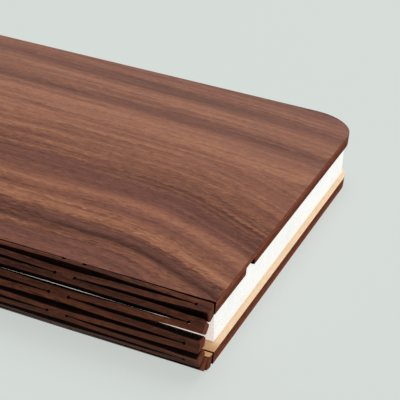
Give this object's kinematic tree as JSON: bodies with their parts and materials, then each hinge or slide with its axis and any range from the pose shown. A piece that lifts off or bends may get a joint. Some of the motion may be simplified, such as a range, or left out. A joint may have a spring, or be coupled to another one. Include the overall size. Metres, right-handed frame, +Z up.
{
  "type": "folding book lamp",
  "caption": "Closed book-shaped folding lamp: wooden covers, a wooden spine slit into strips so that it bends, and a lit fan of folded white paper leaves.",
  "frame": {"origin": "centre of the closed book's footprint, on the surface that the back cover lies on", "axes": "+X along the spine towards the tail end with the charging socket, +Y from the spine to the fore edge, +Z up through the front cover"},
  "size_m": [0.215, 0.1756, 0.0245],
  "materials": {
    "walnut": "oiled walnut, straight grain along the spine, satin",
    "spine_walnut": "walnut with laser-darkened cut faces, satin",
    "maple": "pale maple face, darkened cut edges, satin",
    "paper": "matt coated white paper",
    "magnet": "nickel plated",
    "cell_foil": "matt laminated foil",
    "foam_pad": "adhesive foam",
    "red_lead": "insulated wire",
    "white_lead": "insulated wire",
    "circuit_board": "solder mask",
    "black_component": "moulded",
    "socket_shell": "tinned sheet",
    "light_tape": "white flexible circuit",
    "light_chip": "phosphor"
  },
  "bodies": {
    "back_cover": {"back_outer_board": "walnut", "back_inner_board": "maple", "back_magnets": "magnet", "trigger_magnet": "magnet", "back_end_leaf": "paper"},
    "spine_12": {"strip_12": "spine_walnut", "leaf_12": "paper"},
    "spine_11": {"strip_11": "spine_walnut", "leaf_11": "paper"},
    "spine_10": {"strip_10": "spine_walnut", "leaf_10": "paper"},
    "spine_09": {"strip_09": "spine_walnut", "leaf_09": "paper"},
    "spine_08": {"strip_08": "spine_walnut", "leaf_08": "paper"},
    "spine_07": {"strip_07": "spine_walnut", "leaf_07": "paper"},
    "spine_06": {"strip_06": "spine_walnut", "leaf_06": "paper"},
    "spine_05": {"strip_05": "spine_walnut", "leaf_05": "paper"},
    "spine_04": {"strip_04": "spine_walnut", "leaf_04": "paper"},
    "spine_03": {"strip_03": "spine_walnut", "leaf_03": "paper"},
    "spine_02": {"strip_02": "spine_walnut", "leaf_02": "paper"},
    "spine_01": {"strip_01": "spine_walnut", "leaf_01": "paper"},
    "front_cover": {"front_outer_board": "walnut", "front_inner_board": "maple", "front_magnets": "magnet", "front_end_leaf": "paper", "battery": "cell_foil", "battery_pad": "foam_pad", "battery_leads": "red_lead", "control_board": "circuit_board", "control_components": "black_component", "cover_switch": "black_component", "charging_socket": "socket_shell", "socket_tongue": "black_component", "light_strip": "light_tape", "light_chips": "light_chip", "light_leads": "white_lead"}
  },
  "joints": [
    {"name": "spine_row_12", "type": "hinge", "parent": "back_cover", "child": "spine_12", "pos_m": [0, -0.0734, 0.0022], "axis": [1, 0, 0], "range_deg": [0, 11.68]},
    {"name": "spine_row_11", "type": "hinge", "parent": "spine_12", "child": "spine_11", "pos_m": [0, -0.07606, 0.00247], "axis": [1, 0, 0], "range_deg": [0, 23.6]},
    {"name": "spine_row_10", "type": "hinge", "parent": "spine_11", "child": "spine_10", "pos_m": [0, -0.0786, 0.00327], "axis": [1, 0, 0], "range_deg": [0, 24.31]},
    {"name": "spine_row_09", "type": "hinge", "parent": "spine_10", "child": "spine_09", "pos_m": [0, -0.08093, 0.00458], "axis": [1, 0, 0], "range_deg": [0, 25.42]},
    {"name": "spine_row_08", "type": "hinge", "parent": "spine_09", "child": "spine_08", "pos_m": [0, -0.08292, 0.00636], "axis": [1, 0, 0], "range_deg": [0, 26.88]},
    {"name": "spine_row_07", "type": "hinge", "parent": "spine_08", "child": "spine_07", "pos_m": [0, -0.08444, 0.00856], "axis": [1, 0, 0], "range_deg": [0, 28.58]},
    {"name": "spine_row_06", "type": "hinge", "parent": "spine_07", "child": "spine_06", "pos_m": [0, -0.08539, 0.01106], "axis": [1, 0, 0], "range_deg": [0, 30.4]},
    {"name": "spine_row_05", "type": "hinge", "parent": "spine_06", "child": "spine_05", "pos_m": [0, -0.08565, 0.01372], "axis": [1, 0, 0], "range_deg": [0, 32.22]},
    {"name": "spine_row_04", "type": "hinge", "parent": "spine_05", "child": "spine_04", "pos_m": [0, -0.08518, 0.01634], "axis": [1, 0, 0], "range_deg": [0, 33.92]},
    {"name": "spine_row_03", "type": "hinge", "parent": "spine_04", "child": "spine_03", "pos_m": [0, -0.08397, 0.01873], "axis": [1, 0, 0], "range_deg": [0, 35.38]},
    {"name": "spine_row_02", "type": "hinge", "parent": "spine_03", "child": "spine_02", "pos_m": [0, -0.0821, 0.02063], "axis": [1, 0, 0], "range_deg": [0, 36.49]},
    {"name": "spine_row_01", "type": "hinge", "parent": "spine_02", "child": "spine_01", "pos_m": [0, -0.07973, 0.02187], "axis": [1, 0, 0], "range_deg": [0, 37.2]},
    {"name": "spine_row_00", "type": "hinge", "parent": "spine_01", "child": "front_cover", "pos_m": [0, -0.07709, 0.0223], "axis": [1, 0, 0], "range_deg": [0, 18.72]}
  ],
  "couplings": [
    {"joint": "spine_row_12", "follows": "spine_row_06", "ratio": 0.38427},
    {"joint": "spine_row_11", "follows": "spine_row_06", "ratio": 0.77642},
    {"joint": "spine_row_10", "follows": "spine_row_06", "ratio": 0.79954},
    {"joint": "spine_row_09", "follows": "spine_row_06", "ratio": 0.83633},
    {"joint": "spine_row_08", "follows": "spine_row_06", "ratio": 0.88427},
    {"joint": "spine_row_07", "follows": "spine_row_06", "ratio": 0.94009},
    {"joint": "spine_row_05", "follows": "spine_row_06", "ratio": 1.0599},
    {"joint": "spine_row_04", "follows": "spine_row_06", "ratio": 1.1157},
    {"joint": "spine_row_03", "follows": "spine_row_06", "ratio": 1.1637},
    {"joint": "spine_row_02", "follows": "spine_row_06", "ratio": 1.2005},
    {"joint": "spine_row_01", "follows": "spine_row_06", "ratio": 1.2236},
    {"joint": "spine_row_00", "follows": "spine_row_06", "ratio": 0.61573}
  ]
}
